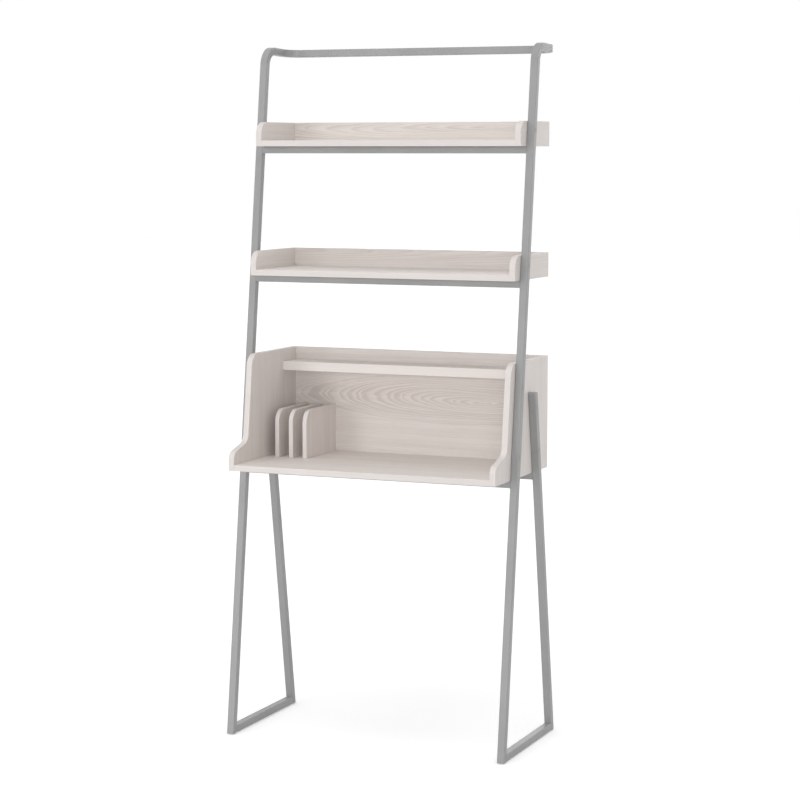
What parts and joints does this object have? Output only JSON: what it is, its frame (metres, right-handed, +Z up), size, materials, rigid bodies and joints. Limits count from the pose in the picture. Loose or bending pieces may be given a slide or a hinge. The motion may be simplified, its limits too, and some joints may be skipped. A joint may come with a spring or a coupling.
{
  "type": "ladder desk",
  "caption": "Leaning square-tube steel frame with a wooden desk box, a back ledge, upright letter dividers, tray shelves above and a bent top rail.",
  "frame": {"origin": "middle of the object's box on the floor, between the feet", "axes": "+X to the right of a person at the desk, +Y to the back, +Z up"},
  "size_m": [0.8012, 0.411, 1.8538],
  "materials": {
    "frame_paint": "satin powder coat",
    "wood_panel": "pale washed, matt",
    "dowel_wood": "bare beech",
    "fastener_steel": "zinc plated",
    "grey_plastic": "matt"
  },
  "bodies": {
    "root": {"left_upright": "frame_paint", "right_upright": "frame_paint", "left_rear_leg": "frame_paint", "right_rear_leg": "frame_paint", "left_floor_rail": "frame_paint", "right_floor_rail": "frame_paint", "top_rail": "frame_paint", "upper_shelf_bar": "frame_paint", "lower_shelf_bar": "frame_paint", "desk_front_bar": "frame_paint", "desk_rear_bar": "frame_paint", "desk_board": "wood_panel", "hutch_left_side": "wood_panel", "hutch_right_side": "wood_panel", "hutch_back": "wood_panel", "hutch_ledge": "wood_panel", "left_divider": "wood_panel", "middle_divider": "wood_panel", "right_divider": "wood_panel", "upper_shelf_board": "wood_panel", "upper_shelf_left_side": "wood_panel", "upper_shelf_right_side": "wood_panel", "upper_shelf_back": "wood_panel", "lower_shelf_board": "wood_panel", "lower_shelf_left_side": "wood_panel", "lower_shelf_right_side": "wood_panel", "lower_shelf_back": "wood_panel", "upper_shelf_dowels": "dowel_wood", "lower_shelf_dowels": "dowel_wood", "desk_dowels": "dowel_wood", "divider_dowels": "dowel_wood", "frame_bolts": "fastener_steel", "bar_screws": "fastener_steel", "bolt_covers": "grey_plastic", "leg_caps": "grey_plastic", "floor_glides": "grey_plastic", "rail_connectors": "grey_plastic"}
  },
  "joints": []
}
